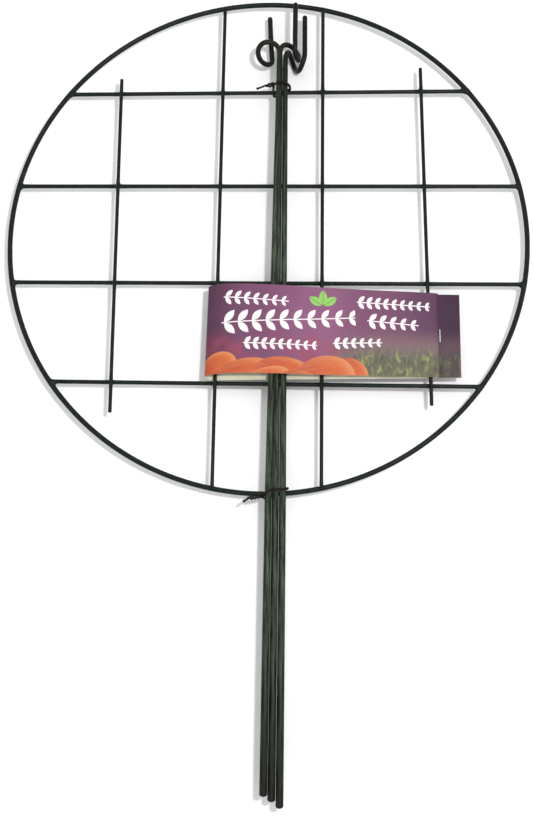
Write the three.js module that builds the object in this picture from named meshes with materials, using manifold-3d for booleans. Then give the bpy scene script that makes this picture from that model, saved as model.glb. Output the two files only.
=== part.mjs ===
// A grow through plant support as it is sold: a round wire grid and its three hooked
// stakes, tied together in one flat bundle with a card label band around them.
// Millimetres. X runs across the grid, Y towards the stakes' hooks and Z up from the
// surface that the bundle lies on. The origin is the middle of its footprint.
import * as THREE from 'three';
import { mergeVertices } from 'three/addons/utils/BufferGeometryUtils.js';
import Module from 'manifold-3d';

// Shared fits
const TOUCH_GAP = 0.3;
const CUT_OVERRUN = 5;

// Ring
const RING_DIAMETER = 406.4;
const RING_WIRE = 3.9;

// Grid wires
const GRID_SPACING = 80.1;
const GRID_SHIFT_X = 2.6;
const GRID_SHIFT_Y = 2.8;
const CROSS_WIRE = 3.2;
const LONG_WIRE = 2.8;
const LONG_END_INSET = 1.2;
const CROSS_SLOPE_SHARES = [0.006, -0.001, -0.003, -0.009];
const LONG_LEAN_SHARES = [-0.004, 0.007, 0.003, -0.013];
const LEFT_OVERHANG_TOP = 11.5;
const RIGHT_OVERHANG_TOP = 19;
const LEFT_OVERHANG_FOOT = 24.5;
const RIGHT_OVERHANG_FOOT = 16;

// Stakes
const STAKE_WIRE = 4.5;
const EYE_BORE = 11.1;
const EYE_LEAD = 15.5;
const EYE_EASE_POWER = 1.15;
const PRONG_LENGTH = 37.5;
const LEFT_SHAFT = 570;
const LEFT_EYE_ABOVE_GRID = 31.6;
const LEFT_TURN_DEG = 23;
const LEFT_PRONG_LEAN_DEG = 3.7;
const MIDDLE_SHAFT = 576.5;
const MIDDLE_EYE_ABOVE_GRID = 34.6;
const MIDDLE_TURN_DEG = -127;
const MIDDLE_PRONG_LEAN_DEG = 0.5;
const RIGHT_SHAFT = 575.3;
const RIGHT_EYE_ABOVE_GRID = 29.1;
const RIGHT_TURN_DEG = -89;
const RIGHT_PRONG_LEAN_DEG = 1.5;
const BUNDLE_X_HEAD = 8.35;
const BUNDLE_X_FOOT = 7;

// Places of the left and right stakes beside the middle one, as shares of the distance
// between two stakes that touch: across and up, at the top grid wire and at the foot
const LEFT_HEAD_SHARES = [-0.16, 1.09];
const LEFT_FOOT_SHARES = [-1.35, 0.34];
const RIGHT_HEAD_SHARES = [1.01, 0];
const RIGHT_FOOT_SHARES = [1.4, 0];

// Wire ties: where the strand in front crests the outer stakes, where the twisted ends start
// round the left one, how far up the held wire the strand starts and crests, and the runs of
// the twist, of the loose tail and of the cut stub
const TIE_WIRE = 1.5;
const TIE_SLACK = 0.5;
const TIE_CREST_LEFT_DEG = 45;
const TIE_CREST_RIGHT_DEG = 60;
const TIE_TAIL_SHARES = [1, 0.5];
const UPPER_KNOT_DEG = 140;
const UPPER_FRONT_SHARES = [0.3, 1.3];
const UPPER_TWIST_RUN = [-4.6, -1, 0];
const UPPER_TWIST_TURNS = 1;
const UPPER_TAIL_RUN = [-9, -3, -1];
const LOWER_KNOT_DEG = 180;
const LOWER_FRONT_SHARES = [-0.7, 0.6];
const LOWER_TWIST_RUN = [-9.3, -1.8, 0];
const LOWER_TWIST_TURNS = 2;
const LOWER_TAIL_RUN = [-5, -3, -1];
const TIE_STUB_RUN = [-1.8, 0.9, -0.9];

// Label band
const CARD_THICKNESS = 0.4;
const LABEL_FOLD_REACH = 8.3;
const LABEL_FOLD_OFFSET = 1.7;
const LABEL_END_REACH = 22.7;
const LABEL_HEIGHT_AT_FOLD = 71.1;
const LABEL_HEIGHT_AT_END = 65.3;
const LABEL_BACK_DROP = 3.3;
const LABEL_FOOT_FALL = 0.7;
const LABEL_CROWN_HEIGHT = 1.2;
const LABEL_FLAP_LENGTH = 18;

// The band's line over the stakes, round the fold and back behind, as shares of its width up
// to the last grid wire and of its depth
const LABEL_WRAP_SHARES = [
  [0.52, 0.76],
  [0.36, 0.94],
  [0.18, 1],
  [0.075, 0.9],
  [0.02, 0.66],
  [0, 0.36],
  [0.013, 0.09],
  [0.035, 0],
  [0.1, 0],
  [0.5, 0],
];

// Staple
const STAPLE_WIRE = 0.7;
const STAPLE_CROWN_LENGTH = 10.3;
const STAPLE_CLINCH = 3.6;
const STAPLE_INSET = 15.5;
const STAPLE_BEND = 0.5;

// Facets
const RING_STEPS = 96;
const WIRE_SIDES = 12;
const TIE_SIDES = 8;
const STAPLE_SIDES = 6;
const EYE_STEPS = 32;
const SHAFT_STEPS = 8;
const PRONG_STEPS = 4;
const TWIST_STEPS_PER_TURN = 12;
const TIE_BEND_STEPS = 4;
const LABEL_STEPS = 72;

// Worked-out places, from the middle of the ring and the ring's underside
const ringRadius = (RING_DIAMETER - RING_WIRE) / 2;
const ringBore = RING_DIAMETER / 2 - RING_WIRE;
const crossZ = RING_WIRE - CROSS_WIRE / 2;
const longZ = RING_WIRE + TOUCH_GAP + LONG_WIRE / 2;
const bundleZ = RING_WIRE + TOUCH_GAP + STAKE_WIRE / 2;
const stakePitch = STAKE_WIRE + TOUCH_GAP;
const gridRows = [1.5, 0.5, -0.5, -1.5];
const gridColumns = [-1.5, -0.5, 0.5, 1.5];
const headY = rowY(0);
const footY = headY + MIDDLE_EYE_ABOVE_GRID - MIDDLE_SHAFT;

const wasm = await Module();
wasm.setup();

// The height up the grid of one cross wire, at one place along it
function rowY(row, x = 0) {
  return GRID_SHIFT_Y + gridRows[row] * GRID_SPACING + CROSS_SLOPE_SHARES[row] * x;
}

// The place across the grid of one long wire, at one height up it
function columnX(column, y = 0) {
  return GRID_SHIFT_X + gridColumns[column] * GRID_SPACING + LONG_LEAN_SHARES[column] * y;
}

// A curve through chosen points that steps from point to point
class StationCurve extends THREE.CatmullRomCurve3 {
  constructor(points) {
    super(points, false, 'centripetal');
  }

  getPointAt(u, target) {
    return this.getPoint(u, target);
  }

  getTangentAt(u, target) {
    return this.getTangent(u, target);
  }
}

// A round wire along points, with flat ends
function wireAlong(points, diameter, sides) {
  const corners = [];
  for (let i = 0; i < sides; i++) {
    const angle = (i / sides) * 2 * Math.PI;
    corners.push(new THREE.Vector2(Math.cos(angle), Math.sin(angle)).multiplyScalar(diameter / 2));
  }
  return new THREE.ExtrudeGeometry(new THREE.Shape(corners), {
    steps: points.length - 1,
    extrudePath: new StationCurve(points),
  });
}

// A closed mesh as a solid that can be joined and cut
function toSolid(geometry) {
  const bare = geometry.clone();
  bare.deleteAttribute('normal');
  bare.deleteAttribute('uv');
  const merged = mergeVertices(bare);
  return new wasm.Manifold(new wasm.Mesh({
    numProp: 3,
    vertProperties: merged.attributes.position.array,
    triVerts: Uint32Array.from(merged.index.array),
  }));
}

// A joined or cut solid as a flat-shaded mesh again
function toGeometry(solid) {
  const mesh = solid.getMesh();
  const geometry = new THREE.BufferGeometry();
  geometry.setAttribute('position', new THREE.BufferAttribute(mesh.vertProperties, 3));
  geometry.setIndex(new THREE.BufferAttribute(mesh.triVerts, 1));
  const flat = geometry.toNonIndexed();
  flat.computeVertexNormals();
  return flat;
}

// A piece less its cutters, which are given in the same place as the piece
function cutAway(mesh, cutters) {
  mesh.updateMatrix();
  const back = mesh.matrix.clone().invert();
  let solid = toSolid(mesh.geometry);
  for (const cutter of cutters) {
    solid = solid.subtract(toSolid(cutter.clone().applyMatrix4(back)));
  }
  mesh.geometry = toGeometry(solid);
  return mesh;
}

function named(name, geometry, material) {
  const mesh = new THREE.Mesh(geometry, material);
  mesh.name = name;
  return mesh;
}

// Materials
function coatedWire(color) {
  return new THREE.MeshStandardMaterial({ color, roughness: 0.42, metalness: 0.1 });
}

const gridCoat = coatedWire(0x1b2620);
const stakeCoat = coatedWire(0x222b26);
const tieCoat = new THREE.MeshStandardMaterial({ color: 0x17150f, roughness: 0.6, metalness: 0.1 });
const printedCard = new THREE.MeshStandardMaterial({ color: 0x6b3a68, roughness: 0.4, metalness: 0 });
const stapleSteel = new THREE.MeshStandardMaterial({ color: 0xc9c6cc, roughness: 0.3, metalness: 1 });

// Ring
function makeRing() {
  const profile = [];
  for (let i = 0; i <= WIRE_SIDES; i++) {
    const angle = ((i + 0.5) / WIRE_SIDES) * 2 * Math.PI;
    const r = RING_WIRE / 2 / Math.cos(Math.PI / WIRE_SIDES);
    profile.push(new THREE.Vector2(ringRadius + r * Math.cos(angle), r * Math.sin(angle)));
  }
  profile[WIRE_SIDES].copy(profile[0]);
  const ring = named('ring', new THREE.LatheGeometry(profile, RING_STEPS), gridCoat);
  ring.rotation.x = Math.PI / 2;
  ring.position.z = RING_WIRE / 2;
  return ring;
}

// Grid wires across, cut to the ring's inner side
function makeRingBoreCutter() {
  const inner = ringBore - TOUCH_GAP;
  const outer = RING_DIAMETER / 2 + CUT_OVERRUN;
  const half = RING_WIRE + CUT_OVERRUN;
  const profile = [[inner, -half], [outer, -half], [outer, half], [inner, half], [inner, -half]];
  const points = profile.map(([r, h]) => new THREE.Vector2(r, h));
  return new THREE.LatheGeometry(points, RING_STEPS).rotateX(Math.PI / 2);
}

function makeCrossWire(row) {
  const reach = Math.sqrt(ringRadius ** 2 - rowY(row) ** 2);
  const blank = new THREE.CylinderGeometry(CROSS_WIRE / 2, CROSS_WIRE / 2, 2 * reach, WIRE_SIDES);
  const wire = named(`cross_wire_${row + 1}`, blank, gridCoat);
  wire.rotation.z = Math.PI / 2 + Math.atan(CROSS_SLOPE_SHARES[row]);
  wire.position.set(0, rowY(row), crossZ);
  return cutAway(wire, [makeRingBoreCutter()]);
}

// Grid wires up the grid: the inner two end on the ring, the outer two stand free
function makeLongWire(column) {
  const x = columnX(column);
  let top = Math.sqrt(ringRadius ** 2 - x ** 2) - LONG_END_INSET;
  let foot = -top;
  if (column === 0 || column === gridColumns.length - 1) {
    top = rowY(0, x) + (column === 0 ? LEFT_OVERHANG_TOP : RIGHT_OVERHANG_TOP);
    foot = rowY(gridRows.length - 1, x) - (column === 0 ? LEFT_OVERHANG_FOOT : RIGHT_OVERHANG_FOOT);
  }
  const radius = LONG_WIRE / 2;
  const wire = named(
    `long_wire_${column + 1}`,
    new THREE.CylinderGeometry(radius, radius, top - foot, WIRE_SIDES),
    gridCoat,
  );
  const middle = (top + foot) / 2;
  wire.rotation.z = -Math.atan(LONG_LEAN_SHARES[column]);
  wire.position.set(columnX(column, middle), middle, longZ);
  return wire;
}

// Stakes: a straight shaft, a one-turn eye and a straight prong beside the shaft's line
function makeStakeGeometry(stake) {
  const radius = (EYE_BORE + STAKE_WIRE) / 2;
  const lean = Math.tan(THREE.MathUtils.degToRad(stake.prongLean));
  const points = [];
  for (let i = 0; i < SHAFT_STEPS; i++) {
    points.push(new THREE.Vector3(0, -stake.shaft * (1 - i / SHAFT_STEPS), 0));
  }
  points.push(new THREE.Vector3(0, -STAKE_WIRE, 0));
  for (let i = 0; i <= EYE_STEPS; i++) {
    const share = i / EYE_STEPS;
    const angle = share * 2 * Math.PI;
    points.push(new THREE.Vector3(
      radius * (Math.cos(angle) - 1),
      radius * Math.sin(angle),
      -EYE_LEAD * share ** EYE_EASE_POWER,
    ));
  }
  for (let i = 0; i <= PRONG_STEPS; i++) {
    const y = THREE.MathUtils.lerp(STAKE_WIRE, PRONG_LENGTH, i / PRONG_STEPS);
    points.push(new THREE.Vector3(-y * lean, y, -EYE_LEAD));
  }
  return wireAlong(points, STAKE_WIRE, WIRE_SIDES);
}

// The middle of a stake's shaft at one height up the bundle
function shaftPoint(stake, y) {
  const share = (headY - y) / (headY - footY);
  const across = THREE.MathUtils.lerp(stake.head[0], stake.foot[0], share) * stakePitch;
  const up = THREE.MathUtils.lerp(stake.head[1], stake.foot[1], share) * stakePitch;
  const x = THREE.MathUtils.lerp(BUNDLE_X_HEAD, BUNDLE_X_FOOT, share);
  return new THREE.Vector3(x + across, y, bundleZ + up);
}

const stakes = [
  {
    name: 'left_stake',
    head: LEFT_HEAD_SHARES,
    foot: LEFT_FOOT_SHARES,
    shaft: LEFT_SHAFT,
    eyeAboveGrid: LEFT_EYE_ABOVE_GRID,
    turn: LEFT_TURN_DEG,
    prongLean: LEFT_PRONG_LEAN_DEG,
  },
  {
    name: 'middle_stake',
    head: [0, 0],
    foot: [0, 0],
    shaft: MIDDLE_SHAFT,
    eyeAboveGrid: MIDDLE_EYE_ABOVE_GRID,
    turn: MIDDLE_TURN_DEG,
    prongLean: MIDDLE_PRONG_LEAN_DEG,
  },
  {
    name: 'right_stake',
    head: RIGHT_HEAD_SHARES,
    foot: RIGHT_FOOT_SHARES,
    shaft: RIGHT_SHAFT,
    eyeAboveGrid: RIGHT_EYE_ABOVE_GRID,
    turn: RIGHT_TURN_DEG,
    prongLean: RIGHT_PRONG_LEAN_DEG,
  },
];

function makeStake(stake) {
  const direction = shaftPoint(stake, headY).sub(shaftPoint(stake, footY)).normalize();
  const line = new THREE.Group();
  line.position.copy(shaftPoint(stake, headY + stake.eyeAboveGrid));
  line.quaternion.setFromUnitVectors(new THREE.Vector3(0, 1, 0), direction);
  const mesh = named(stake.name, makeStakeGeometry(stake), stakeCoat);
  mesh.rotation.y = THREE.MathUtils.degToRad(stake.turn);
  line.add(mesh);
  return line;
}

// A tie: one wire over the stakes and under the wire they lie on, its ends twisted together
function makeTie(tie) {
  const { held, frontShares } = tie;
  const left = shaftPoint(stakes[0], held.yAt(0));
  const right = shaftPoint(stakes[2], held.yAt(0));
  const around = STAKE_WIRE / 2 + TIE_SLACK + TIE_WIRE / 2;
  const under = held.diameter / 2 + TIE_SLACK + TIE_WIRE / 2;
  const twistRadius = (TIE_WIRE + TIE_SLACK + TOUCH_GAP) / 2;
  const leftX = left.x - around;
  const rightX = right.x + around;

  const beside = (stake, degrees, share, reach = around) => {
    const angle = THREE.MathUtils.degToRad(degrees);
    const x = stake.x + reach * Math.cos(angle);
    return new THREE.Vector3(x, held.yAt(x) + under * share, stake.z + reach * Math.sin(angle));
  };
  const knot = beside(left, tie.knotDeg, frontShares[0], around + twistRadius);
  const run = new THREE.Vector3(...tie.twistRun);
  const turn = new THREE.Quaternion().setFromUnitVectors(
    new THREE.Vector3(-1, 0, 0),
    run.clone().normalize(),
  );
  const twist = (share, phase) => {
    const angle = share * tie.twistTurns * 2 * Math.PI + phase;
    const off = new THREE.Vector3(0, Math.sin(angle), Math.cos(angle)).multiplyScalar(twistRadius);
    return off.applyQuaternion(turn).addScaledVector(run, share).add(knot);
  };
  const twistSteps = tie.twistTurns * TWIST_STEPS_PER_TURN;
  const points = [];
  for (const share of TIE_TAIL_SHARES) {
    points.push(twist(1, 0).addScaledVector(new THREE.Vector3(...tie.tailRun), share));
  }
  for (let i = twistSteps; i >= 0; i--) {
    points.push(twist(i / twistSteps, 0));
  }
  for (let i = 1; i <= TIE_BEND_STEPS; i++) {
    const share = i / TIE_BEND_STEPS;
    const degrees = THREE.MathUtils.lerp(tie.knotDeg, TIE_CREST_LEFT_DEG, share);
    points.push(beside(left, degrees, THREE.MathUtils.lerp(frontShares[0], frontShares[1], share)));
  }
  for (let i = 0; i <= TIE_BEND_STEPS; i++) {
    const share = i / TIE_BEND_STEPS;
    const degrees = THREE.MathUtils.lerp(TIE_CREST_RIGHT_DEG, 0, share);
    points.push(beside(right, degrees, THREE.MathUtils.lerp(frontShares[1], 1, share)));
  }
  for (let i = 0; i <= 2 * TIE_BEND_STEPS; i++) {
    const share = i / (2 * TIE_BEND_STEPS);
    const x = THREE.MathUtils.lerp(rightX, leftX, share);
    const angle = share * Math.PI;
    points.push(new THREE.Vector3(
      x,
      held.yAt(x) + under * Math.cos(angle),
      held.z - under * Math.sin(angle),
    ));
  }
  for (let i = 0; i <= twistSteps; i++) {
    points.push(twist(i / twistSteps, Math.PI));
  }
  points.push(twist(1, Math.PI).add(new THREE.Vector3(...TIE_STUB_RUN)));
  return named(tie.name, wireAlong(points, TIE_WIRE, TIE_SIDES), tieCoat);
}

const ties = [
  {
    name: 'upper_tie',
    held: { diameter: CROSS_WIRE, z: crossZ, yAt: (x) => rowY(0, x) },
    knotDeg: UPPER_KNOT_DEG,
    frontShares: UPPER_FRONT_SHARES,
    twistRun: UPPER_TWIST_RUN,
    twistTurns: UPPER_TWIST_TURNS,
    tailRun: UPPER_TAIL_RUN,
  },
  {
    name: 'lower_tie',
    held: { diameter: RING_WIRE, z: RING_WIRE / 2, yAt: (x) => -Math.sqrt(ringRadius ** 2 - x ** 2) },
    knotDeg: LOWER_KNOT_DEG,
    frontShares: LOWER_FRONT_SHARES,
    twistRun: LOWER_TWIST_RUN,
    twistTurns: LOWER_TWIST_TURNS,
    tailRun: LOWER_TAIL_RUN,
  },
];

// Label band: one strip of card, folded at the left and stapled to itself at the right
const foldX = columnX(1, rowY(2)) - LONG_WIRE / 2 - LABEL_FOLD_REACH;
const endX = columnX(3, rowY(2)) + LONG_WIRE / 2 + LABEL_END_REACH;
const backZ = longZ - LONG_WIRE / 2 - TOUCH_GAP - CARD_THICKNESS / 2;
const flapZ = backZ + CARD_THICKNESS + TOUCH_GAP;
const stakesTopZ = shaftPoint(stakes[0], rowY(2)).z + STAKE_WIRE / 2;
const crownZ = stakesTopZ + TOUCH_GAP + CARD_THICKNESS / 2 + LABEL_CROWN_HEIGHT;

function makeLabelLine() {
  const overRightZ = longZ + LONG_WIRE / 2 + TOUCH_GAP + CARD_THICKNESS;
  const depth = crownZ - backZ;
  const lastX = columnX(3, rowY(2));
  const wide = lastX - foldX;
  return new THREE.SplineCurve([
    new THREE.Vector2(endX, flapZ),
    new THREE.Vector2(endX - LABEL_FLAP_LENGTH / 2, flapZ),
    new THREE.Vector2(endX - LABEL_FLAP_LENGTH, flapZ),
    new THREE.Vector2(lastX, overRightZ),
    ...LABEL_WRAP_SHARES.map(([across, up]) => {
      return new THREE.Vector2(foldX + across * wide, backZ + up * depth);
    }),
    new THREE.Vector2(lastX, backZ),
    new THREE.Vector2(endX, backZ),
  ]);
}

function makeLabelOutline() {
  const line = makeLabelLine();
  const outer = [];
  const inner = [];
  for (let i = 0; i <= LABEL_STEPS; i++) {
    const point = line.getPointAt(i / LABEL_STEPS);
    const tangent = line.getTangentAt(i / LABEL_STEPS);
    const side = new THREE.Vector2(-tangent.y, tangent.x).multiplyScalar(CARD_THICKNESS / 2);
    outer.push(point.clone().sub(side));
    inner.unshift(point.clone().add(side));
  }
  return new THREE.Shape([...outer, ...inner]);
}

// The card's lower and upper edge at one place along and under the front
function labelEdges(x, z) {
  const along = (x - foldX) / (endX - foldX);
  const behind = 1 - THREE.MathUtils.clamp((z - backZ) / (crownZ - backZ), 0, 1);
  const seat = rowY(3, foldX) + CROSS_WIRE / 2 + TOUCH_GAP;
  const foot = seat + LABEL_BACK_DROP * (1 - behind * (1 - along)) - LABEL_FOOT_FALL * along;
  return [foot, foot + THREE.MathUtils.lerp(LABEL_HEIGHT_AT_FOLD, LABEL_HEIGHT_AT_END, along)];
}

function makeLabelBand() {
  const geometry = new THREE.ExtrudeGeometry(makeLabelOutline(), { depth: 1, bevelEnabled: false });
  const position = geometry.attributes.position;
  for (let i = 0; i < position.count; i++) {
    const x = position.getX(i);
    const z = position.getY(i);
    const [foot, top] = labelEdges(x, z);
    if (position.getZ(i) > 0.5) {
      position.setXYZ(i, x, foot, z);
    } else {
      const lean = LABEL_FOLD_OFFSET * (endX - x) / (endX - foldX);
      position.setXYZ(i, x + lean, top, z);
    }
  }
  geometry.computeVertexNormals();
  const slots = staplePosts().map((post) => {
    const wide = STAPLE_WIRE + 2 * TOUCH_GAP;
    const slot = new THREE.BoxGeometry(wide, wide, crownZ);
    return slot.translate(post.x, post.y, flapZ);
  });
  return cutAway(named('label_band', geometry, printedCard), slots);
}

// Staple: its crown on the front, its legs through both plies and turned in behind
function staplePosts() {
  const x = endX - STAPLE_INSET;
  const [foot, top] = labelEdges(x, flapZ);
  const middle = (foot + top) / 2;
  const half = (STAPLE_CROWN_LENGTH - STAPLE_WIRE) / 2;
  return [new THREE.Vector2(x, middle - half), new THREE.Vector2(x, middle + half)];
}

function makeStaple() {
  const [lower, upper] = staplePosts();
  const away = CARD_THICKNESS / 2 + TOUCH_GAP + STAPLE_WIRE / 2;
  const front = flapZ + away;
  const back = backZ - away;
  const at = (post, inward, z) => {
    const sign = post === lower ? 1 : -1;
    return new THREE.Vector3(post.x, post.y + sign * inward, z);
  };
  const half = [
    (post) => at(post, STAPLE_CLINCH, back),
    (post) => at(post, STAPLE_BEND, back),
    (post) => at(post, 0, back + STAPLE_BEND / 2),
    (post) => at(post, 0, front - STAPLE_BEND / 2),
    (post) => at(post, STAPLE_BEND, front),
  ];
  const points = [
    ...half.map((place) => place(lower)),
    ...half.map((place) => place(upper)).reverse(),
  ];
  return named('staple', wireAlong(points, STAPLE_WIRE, STAPLE_SIDES), stapleSteel);
}

// Assembly, moved so that its lowest point is at zero and its footprint is centred
const bundle = new THREE.Group();
bundle.add(makeRing());
for (let row = 0; row < gridRows.length; row++) {
  bundle.add(makeCrossWire(row));
}
for (let column = 0; column < gridColumns.length; column++) {
  bundle.add(makeLongWire(column));
}
for (const stake of stakes) {
  bundle.add(makeStake(stake));
}
for (const tie of ties) {
  bundle.add(makeTie(tie));
}
bundle.add(makeLabelBand());
bundle.add(makeStaple());

const bounds = new THREE.Box3().setFromObject(bundle, true);
const middle = bounds.getCenter(new THREE.Vector3());
bundle.position.set(-middle.x, -middle.y, -bounds.min.z);

const support = new THREE.Group();
support.add(bundle);
support.updateMatrixWorld(true);

export default support;
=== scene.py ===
import math
from functools import partial

import bpy
import numpy as np
from mathutils import Matrix, Vector


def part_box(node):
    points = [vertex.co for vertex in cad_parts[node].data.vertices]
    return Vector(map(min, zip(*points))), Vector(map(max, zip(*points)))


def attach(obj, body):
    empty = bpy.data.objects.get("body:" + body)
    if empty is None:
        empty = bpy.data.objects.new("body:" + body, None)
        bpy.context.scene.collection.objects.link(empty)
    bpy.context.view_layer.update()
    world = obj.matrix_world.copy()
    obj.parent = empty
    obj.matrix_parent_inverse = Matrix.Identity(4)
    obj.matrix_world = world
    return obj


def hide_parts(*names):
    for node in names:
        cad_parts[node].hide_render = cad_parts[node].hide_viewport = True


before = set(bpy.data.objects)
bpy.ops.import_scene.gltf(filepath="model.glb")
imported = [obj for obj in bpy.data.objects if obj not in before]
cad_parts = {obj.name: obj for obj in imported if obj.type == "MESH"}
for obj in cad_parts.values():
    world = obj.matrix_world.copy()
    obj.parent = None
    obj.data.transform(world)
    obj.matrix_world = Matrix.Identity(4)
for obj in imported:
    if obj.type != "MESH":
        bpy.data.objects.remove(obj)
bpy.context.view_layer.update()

MM = 0.001

# Meshes: the sides of round wires, the steps of a rounded end and how far its tip stands out,
# the parts between two rings of a CAD wire, and how such rings are found
TUBE_SIDES = 24
TIE_TUBE_SIDES = 14
DOME_STEPS = 5
TIP_SHARE = 0.09
LINE_PARTS = 4
CURVE_POWER = 0.5
EASE_END_REACHES = 4
RING_SEARCH_WIRES = 1.02
MERGE_DIGITS = 7
NEARLY_ALONG = 0.9
FULL_TURN = 2 * math.pi

# Loose wires, as in the CAD, and how many radii long their rounded ends are
STAKE_WIRE = 4.5 * MM
TIE_WIRE = 1.5 * MM
STAPLE_WIRE = 0.7 * MM
STAKE_DOME_SHARE = 0.85
TIE_DOME_SHARE = 0.8

# Down a stake from its hook to its foot: the places, the width of its dip coat there, and for
# each stake how far its hook's turns are eased and how far it bows sideways, so that the
# thick feet lie side by side
STAKE_COAT_RUN = 560 * MM
STAKE_PLACE_SHARES = (-0.04, -0.005, 0.3, 0.62, 1.0)
STAKE_COAT_MM = (4.0, 4.0, 4.45, 5.15, 5.6)
STAKE_BOWS_MM = {
    "left_stake": (1.6, (0.0, 0.5, -0.05, -0.4, 0.95)),
    "middle_stake": (2.5, (0.0, 0.7, 0.72, 0.58, 0.14)),
    "right_stake": (3.0, (0.0, 0.0, 0.0, -0.05, -0.8)),
}

# A tie's blob of coating on its tail, how much thicker each tie is in its wrap than in its
# tail, and how far from the tail that starts and is full
TIE_BLOB = 0.28 * MM
TIE_BLOB_LENGTH = 1.6 * MM
TIE_WRAP_SWELLS = {"upper_tie": 0.4, "lower_tie": 0.15}
TIE_WRAP_START = (11 * MM, 15 * MM)

# Coating of the welded grid: its fillets, how they vary (waves in radians a metre), its swell at
# the welds, the mesh's steps near them and far off, and how a wire's ends meet the ring
WIRES_EACH_WAY = 4
COAT_BLEND = 2.2 * MM
COAT_BLEND_SWAY_SHARE = 0.2
COAT_POOL_SHARE = 0.05
COAT_SWAY_WAVES = (173.0, 119.0, 241.0)
WELD_SWELL = 0.12 * MM
WELD_REACH = 5 * MM
WELD_ZONE = 11 * MM
NEAR_STEP = 0.5 * MM
FAR_STEP = 4 * MM
WIRE_DOME_SHARE = 0.6
END_SINK = 1.2 * MM
RING_END_REACH = 9 * MM
SEARCH_STEPS = 14

# Label band, as in the CAD
TOUCH_GAP = 0.3 * MM
CARD = 0.4 * MM
LABEL_FOLD_OFFSET = 1.7 * MM
LABEL_HEIGHT_AT_FOLD = 71.1 * MM
LABEL_HEIGHT_AT_END = 65.3 * MM
LABEL_BACK_DROP = 3.3 * MM
LABEL_FOOT_FALL = 0.7 * MM
LABEL_FLAP_LENGTH = 18 * MM

# The card's path over the stakes and round its fold, as shares of its width and its depth
LABEL_WRAP_SHARES = [
    (0.52, 0.76),
    (0.36, 0.94),
    (0.18, 1.0),
    (0.075, 0.9),
    (0.02, 0.66),
    (0.0, 0.36),
    (0.013, 0.09),
    (0.035, 0.0),
    (0.1, 0.0),
    (0.5, 0.0),
]

# The card's mesh, and its slight ripple over the front (turns in radians a metre)
LABEL_PARTS = 24
LABEL_LOOSE_SHARE = 0.72
CARD_STEP = 1.2 * MM
CARD_ROWS = 24
CARD_WAVE = 0.3 * MM
CARD_WAVE_START = 12 * MM
CARD_WAVE_FADE_SHARE = 0.15
CARD_WAVE_TURNS = (61.0, 47.0)

# Camera: the photo's height and its focal length in its own pixels, the place and small turns
PHOTO_HIGH = 819
FOCAL_PIXELS = 1200.0
SENSOR = 36.0
CAMERA_PLACE = (0.0260, -0.22697, 0.89467)
CAMERA_PITCH_DEG = -12.8
CAMERA_YAW_DEG = 1.5
CAMERA_ROLL_DEG = 0.6

# Light: a small lamp near the object that does not fade over it, a white room that is darker
# towards its sides, and a white floor. Room and floor look brighter than the light they send on
LAMP_PLACE = (0.28, -0.07, 1.1)
LAMP_SIZE = 0.09
LAMP_POWER = 4.8
LAMP_FALLOFF_STRENGTH = 1.0
ROOM_STRENGTH = 0.86
ROOM_SIDE_SHARE = 0.35
ROOM_SIDE_HEIGHT = 0.75
ROOM_SHOWN = 0.86
FLOOR_HALF = 4.0
FLOOR_SHARE = 0.985
FLOOR_BOUNCE_SHARE = 0.45

# Colours, as a screen shows them: a coating's are dark, light and rubbed, others dark and light
GRID_TONES = ((10, 17, 11), (24, 35, 26), (58, 66, 56))
# A stake's light tone also colours its lit top beside the painted shade on its sides; its end colour
# is painted shade at both ends
STAKE_TONES = ((15, 22, 15), (74, 86, 68), (86, 94, 78))
STAKE_END_SHADE_COLOR = (9, 12, 8)
TIE_TONES = ((9, 8, 6), (28, 25, 19), (52, 48, 40))
# The staple's steel is coloured near white and kept little metallic: partly its own colour, partly a
# painted reflection that makes it show bright
STEEL_TONES = ((226, 225, 228), (250, 249, 251))
BOARD_TONES = ((206, 203, 176), (224, 221, 200))
WHITE = (1.0, 1.0, 1.0, 1.0)
PLUM_COLOR = (136, 84, 118)
DEEP_COLOR = (52, 24, 50)
GROUND_COLORS = (
    (0.0, (78, 46, 68)),
    (0.035, (112, 66, 98)),
    (0.09, PLUM_COLOR),
    (0.13, (116, 70, 100)),
    (0.172, (90, 54, 82)),
    (0.192, DEEP_COLOR),
)
DUSK_COLOR = (150, 66, 88)
SHADE_COLOR = (122, 100, 104)
MOSS_COLOR = (94, 96, 76)
SPRIG_COLOR = (247, 238, 240)
EMBLEM_COLOR = (138, 200, 92)
BUD_COLOR = (154, 162, 92)
PETAL_DEEP = (172, 62, 34)
PETAL_FACE = (206, 100, 48)
PETAL_PALE = (216, 138, 86)

# A screen's curve, which turns its colours into linear values
SCREEN_FULL = 255
SCREEN_KNEE = 0.04045
SCREEN_SLOPE = 12.92
SCREEN_OFFSET = 0.055
SCREEN_POWER = 2.4

# Noises: cells in a metre, detail, roughness and distortion. A scale stretches the place first
MOTTLE_NOISE = (260.0, 4.0, 0.6)
CLOUD_NOISE = (38.0, 2.0)
STREAK_SCALE = (36.0, 9.0)
STREAK_NOISE = (1.0, 3.0, 0.6)
RUB_NOISE = (900.0, 3.0, 0.7)
FINE_NOISE = (2600.0, 2.0)
STEEL_SCALE = (6000.0, 600.0, 6000.0)
STEEL_NOISE = (1.0, 2.0)
BOARD_NOISE = (2400.0, 4.0, 0.6)
STAIN_NOISE = (60.0, 3.0)
WANDER_NOISE = (30.0, 3.0)
PATCH_NOISE = (42.0, 3.0, 0.55)
BLADE_SCALE = (240.0, 110.0)
BLADE_NOISE = (1.0, 2.5, 0.6, 0.8)
VEIN_SCALE = (60.0, 700.0)
VEIN_NOISE = (1.0, 2.0)
PRINT_GRAIN_NOISE = (1500.0, 2.0, 0.6)
PRINT_WAVE_NOISE = (26.0, 2.0)
PRINT_FIBRE_NOISE = (1800.0, 2.0)

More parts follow.
